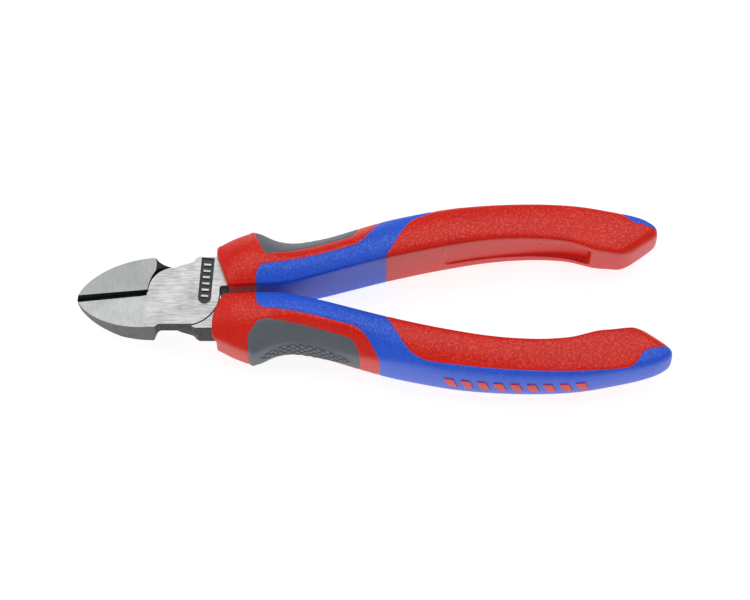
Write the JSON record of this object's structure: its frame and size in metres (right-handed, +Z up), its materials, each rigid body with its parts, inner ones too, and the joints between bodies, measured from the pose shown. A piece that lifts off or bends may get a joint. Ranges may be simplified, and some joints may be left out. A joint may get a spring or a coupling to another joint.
{
  "type": "diagonal cutting pliers",
  "caption": "Lap-joint diagonal cutting pliers with bevelled steel jaws, a flush pivot and multi-component moulded handle grips.",
  "frame": {"origin": "centre of the tool's plan outline, on the surface it lies on", "axes": "+X from the jaws to the handle ends, +Y towards the upper handle, +Z up through the thickness"},
  "size_m": [0.16, 0.051, 0.0215],
  "materials": {
    "ground_steel": "ground and brushed faces, satin forged sides",
    "rivet_steel": "ground flush",
    "red_hard_plastic": "fine spark-eroded grain",
    "blue_soft_plastic": "fine spark-eroded grain, soft touch",
    "grey_soft_plastic": "soft touch with a pressed grip pattern"
  },
  "bodies": {
    "rear_lever": {"rear_half": "ground_steel", "lower_grip_core": "red_hard_plastic", "lower_grip_skin": "blue_soft_plastic", "lower_grip_inlay": "grey_soft_plastic"},
    "front_lever": {"front_half": "ground_steel", "pivot_rivet": "rivet_steel", "upper_grip_core": "red_hard_plastic", "upper_grip_skin": "blue_soft_plastic", "upper_grip_inlay": "grey_soft_plastic"}
  },
  "joints": [
    {"name": "jaw_pivot", "type": "hinge", "parent": "rear_lever", "child": "front_lever", "pos_m": [-0.051, 0, 0.01074], "axis": [0, 0, 1], "range_deg": [0, 28]}
  ]
}
